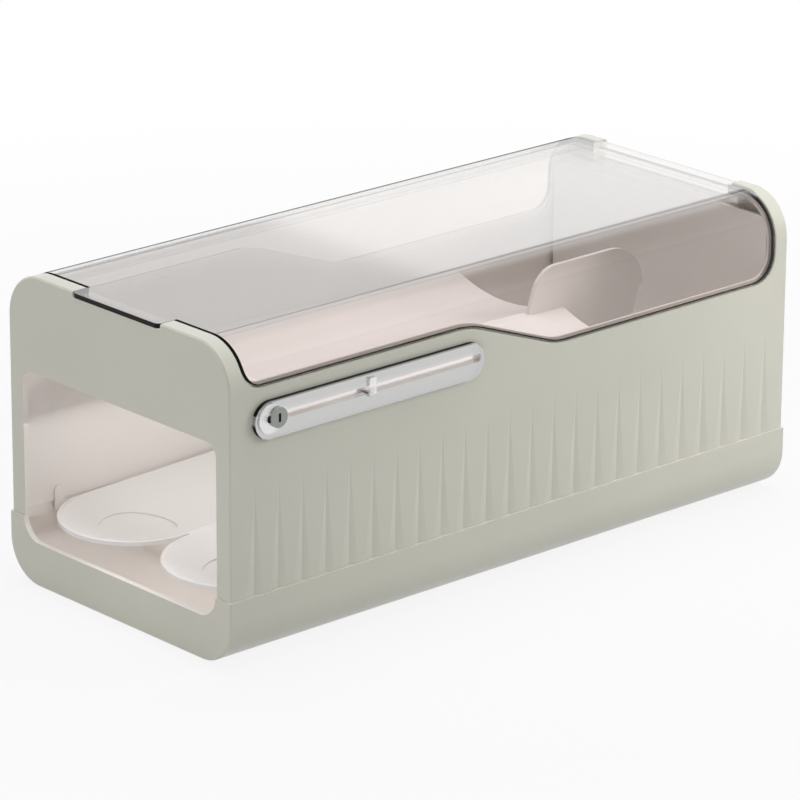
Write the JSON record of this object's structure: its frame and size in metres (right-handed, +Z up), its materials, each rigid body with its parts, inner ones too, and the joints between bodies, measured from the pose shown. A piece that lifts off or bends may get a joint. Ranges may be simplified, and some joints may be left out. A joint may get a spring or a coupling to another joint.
{
  "type": "egg storage box",
  "caption": "Long storage box for eggs with a clear, hinged wrap-over lid, reeded sides, an open front, sloping double runways on stacked levels and a date slider with a dial.",
  "frame": {"origin": "on the surface that the box stands on, under the middle of its length and width; the date dial on +X stands 4.3 mm further out than the base does on -X, so the middle of the bounding box is 2.15 mm off", "axes": "+Z up, +Y from the open front to the back along the lanes, +X towards the side with the date plate"},
  "size_m": [0.1753, 0.382, 0.1635],
  "materials": {
    "body_plastic": "satin",
    "clear_lid": "clear, glossy",
    "clear_trim": "clear, glossy",
    "white_insert": "satin",
    "steel_rod": "ground",
    "foot_rubber": "matte"
  },
  "bodies": {
    "housing": {"base_tub": "body_plastic", "upper_shell": "body_plastic", "hinge_rod": "steel_rod", "upper_runway": "white_insert", "runway_rail_left": "body_plastic", "runway_rail_right": "body_plastic", "lower_runway": "white_insert", "drop_divider": "white_insert", "rear_guide": "white_insert", "date_plate": "clear_trim", "foot_front_left": "foot_rubber", "foot_front_right": "foot_rubber", "foot_rear_left": "foot_rubber", "foot_rear_right": "foot_rubber"},
    "lid_body": {"lid": "clear_lid"},
    "slider": {"date_slider": "clear_trim", "slider_keeper": "clear_trim"},
    "dial": {"month_dial": "clear_trim", "dial_retainer": "clear_trim"}
  },
  "joints": [
    {"name": "lid_hinge", "type": "hinge", "parent": "housing", "child": "lid_body", "pos_m": [0, 0.1854, 0.1589], "axis": [-1, 0, 0], "range_deg": [0, 95]},
    {"name": "date_slide", "type": "slide", "parent": "housing", "child": "slider", "axis": [0, 1, 0], "range_m": [-0.0505, 0.069]},
    {"name": "month_turn", "type": "hinge", "parent": "housing", "child": "dial", "pos_m": [0.0885, -0.1674, 0.125], "axis": [1, 0, 0], "continuous": true}
  ]
}
